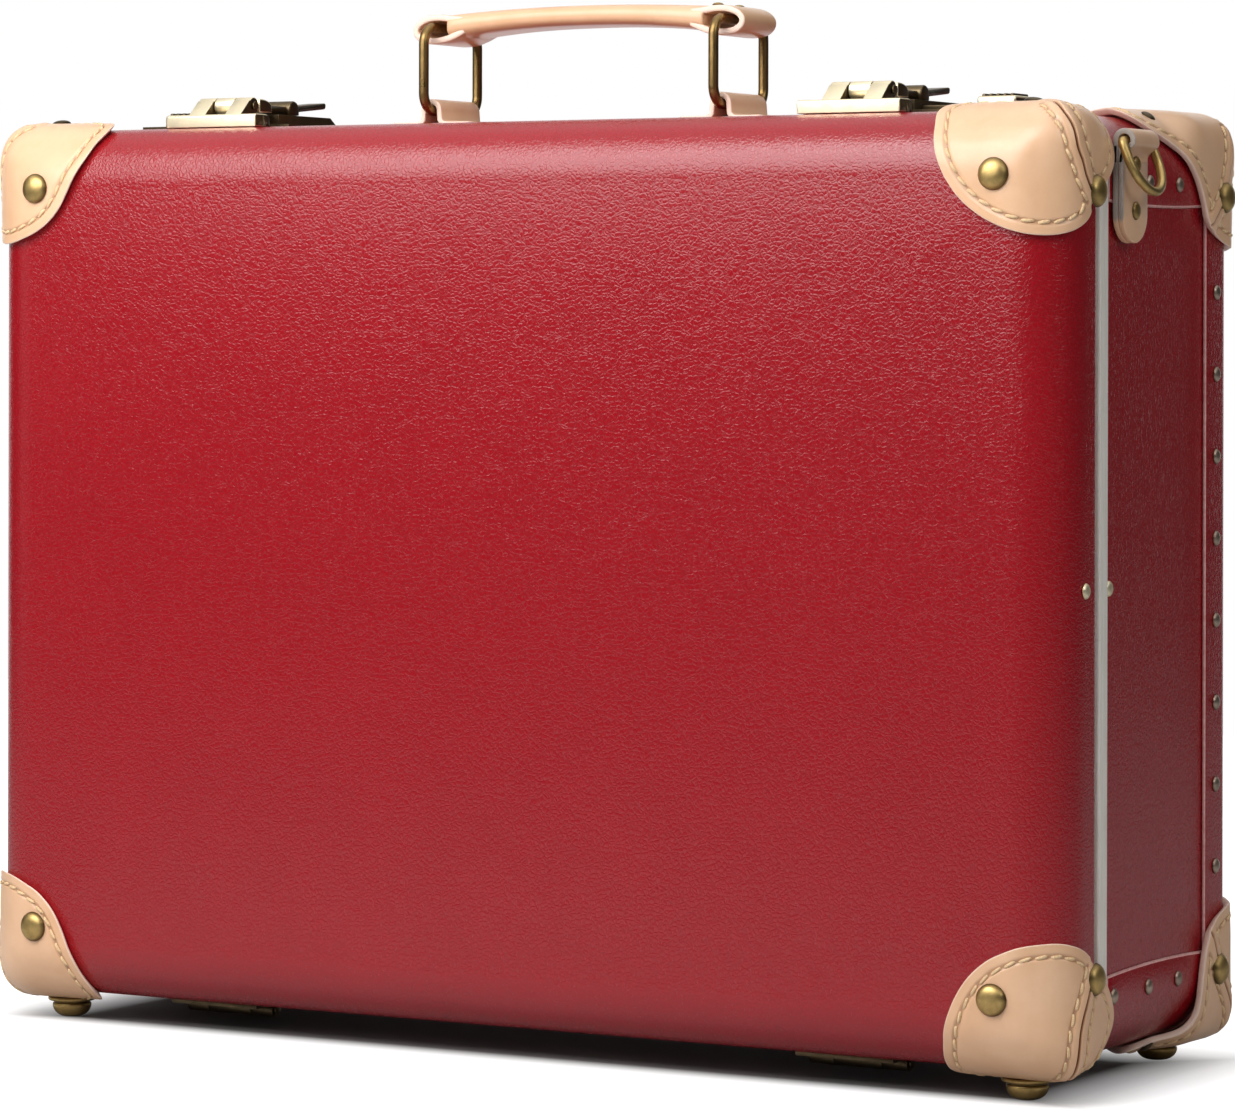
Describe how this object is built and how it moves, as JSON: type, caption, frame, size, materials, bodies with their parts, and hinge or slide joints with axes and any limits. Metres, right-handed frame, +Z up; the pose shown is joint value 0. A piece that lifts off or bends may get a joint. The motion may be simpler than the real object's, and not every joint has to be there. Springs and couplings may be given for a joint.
{
  "type": "trunk suitcase",
  "caption": "Hard trunk-style suitcase with leather corner guards, top latches, folding handle, side ring tabs and domed feet.",
  "frame": {"origin": "centre of the bounding box at floor level, under the four feet, with the case standing upright", "axes": "+X to the right seen from the lid side, +Y from the lid towards the base, +Z up"},
  "size_m": [0.5078, 0.1634, 0.4089],
  "materials": {
    "red_leather": "satin, fine pebbled grain",
    "natural_leather": "smooth satin, vegetable tanned",
    "brass": "antique, brushed",
    "rail": "brushed",
    "lining": "matt woven"
  },
  "bodies": {
    "base": {"base_shell": "red_leather", "base_lining": "lining", "base_rail": "rail", "top_strip": "red_leather", "bottom_strip": "red_leather", "back_binding": "red_leather", "guard_back_top_left": "natural_leather", "guard_back_top_right": "natural_leather", "guard_back_bottom_left": "natural_leather", "guard_back_bottom_right": "natural_leather", "rivet_back_top_left": "brass", "rivet_back_top_right": "brass", "rivet_back_bottom_left": "brass", "rivet_back_bottom_right": "brass", "foot_back_left": "brass", "foot_back_right": "brass", "lock_case_left": "brass", "lock_case_right": "brass", "hinge_base_leaf_left": "brass", "hinge_base_leaf_right": "brass", "hinge_pin_left": "brass", "hinge_pin_right": "brass", "handle_chape_left": "natural_leather", "handle_chape_right": "natural_leather", "tab_strap_left": "natural_leather", "tab_strap_right": "natural_leather"},
    "lid": {"lid_shell": "red_leather", "lid_lining": "lining", "guard_front_top_left": "natural_leather", "guard_front_top_right": "natural_leather", "guard_front_bottom_left": "natural_leather", "guard_front_bottom_right": "natural_leather", "rivet_front_top_left": "brass", "rivet_front_top_right": "brass", "rivet_front_bottom_left": "brass", "rivet_front_bottom_right": "brass", "rivet_side_top_left": "brass", "rivet_side_top_right": "brass", "rivet_side_bottom_left": "brass", "rivet_side_bottom_right": "brass", "foot_front_left": "brass", "foot_front_right": "brass", "lid_bar_left": "brass", "lid_bar_right": "brass", "hasp_pin_left": "brass", "hasp_pin_right": "brass", "hinge_lid_leaf_left": "brass", "hinge_lid_leaf_right": "brass"},
    "hasp_left": {"hasp_left": "brass"},
    "hasp_right": {"hasp_right": "brass"},
    "slide_left": {"thumb_slide_left": "brass"},
    "slide_right": {"thumb_slide_right": "brass"},
    "ring_left": {"handle_ring_left": "brass"},
    "ring_right": {"handle_ring_right": "brass"},
    "grip": {"handle_grip": "natural_leather"},
    "d_ring_left": {"tab_d_ring_left": "brass"},
    "d_ring_right": {"tab_d_ring_right": "brass"}
  },
  "joints": [
    {"name": "lid_hinge", "type": "hinge", "parent": "base", "child": "lid", "pos_m": [0, -0.039, 0.0078], "axis": [1, 0, 0], "range_deg": [0, 100]},
    {"name": "hasp_left_hinge", "type": "hinge", "parent": "lid", "child": "hasp_left", "pos_m": [-0.1435, -0.0422, 0.3704], "axis": [1, 0, 0], "range_deg": [0, 110]},
    {"name": "hasp_right_hinge", "type": "hinge", "parent": "lid", "child": "hasp_right", "pos_m": [0.1435, -0.0422, 0.3704], "axis": [1, 0, 0], "range_deg": [0, 110]},
    {"name": "slide_left_push", "type": "slide", "parent": "base", "child": "slide_left", "axis": [-1, 0, 0], "range_m": [0, 0.006], "stiffness_N_per_m": 300, "springref_m": -0.003},
    {"name": "slide_right_push", "type": "slide", "parent": "base", "child": "slide_right", "axis": [1, 0, 0], "range_m": [0, 0.006], "stiffness_N_per_m": 300, "springref_m": -0.003},
    {"name": "ring_left_swing", "type": "hinge", "parent": "base", "child": "ring_left", "pos_m": [-0.066, 0.0028, 0.3683], "axis": [0, 1, 0], "range_deg": [-70, 70]},
    {"name": "ring_right_swing", "type": "hinge", "parent": "base", "child": "ring_right", "pos_m": [0.066, 0.0028, 0.3683], "axis": [0, 1, 0], "range_deg": [-70, 70]},
    {"name": "grip_pivot", "type": "hinge", "parent": "ring_left", "child": "grip", "pos_m": [-0.066, 0.0028, 0.4015], "axis": [0, 1, 0], "range_deg": [-70, 70]},
    {"name": "d_ring_left_swing", "type": "hinge", "parent": "base", "child": "d_ring_left", "pos_m": [-0.2449, -0.0202, 0.3503], "axis": [0, 1, 0], "range_deg": [0, 120]},
    {"name": "d_ring_right_swing", "type": "hinge", "parent": "base", "child": "d_ring_right", "pos_m": [0.2449, -0.0202, 0.3503], "axis": [0, 1, 0], "range_deg": [-120, 0]}
  ],
  "couplings": [
    {"joint": "ring_right_swing", "follows": "ring_left_swing", "ratio": 1},
    {"joint": "grip_pivot", "follows": "ring_left_swing", "ratio": -1}
  ]
}
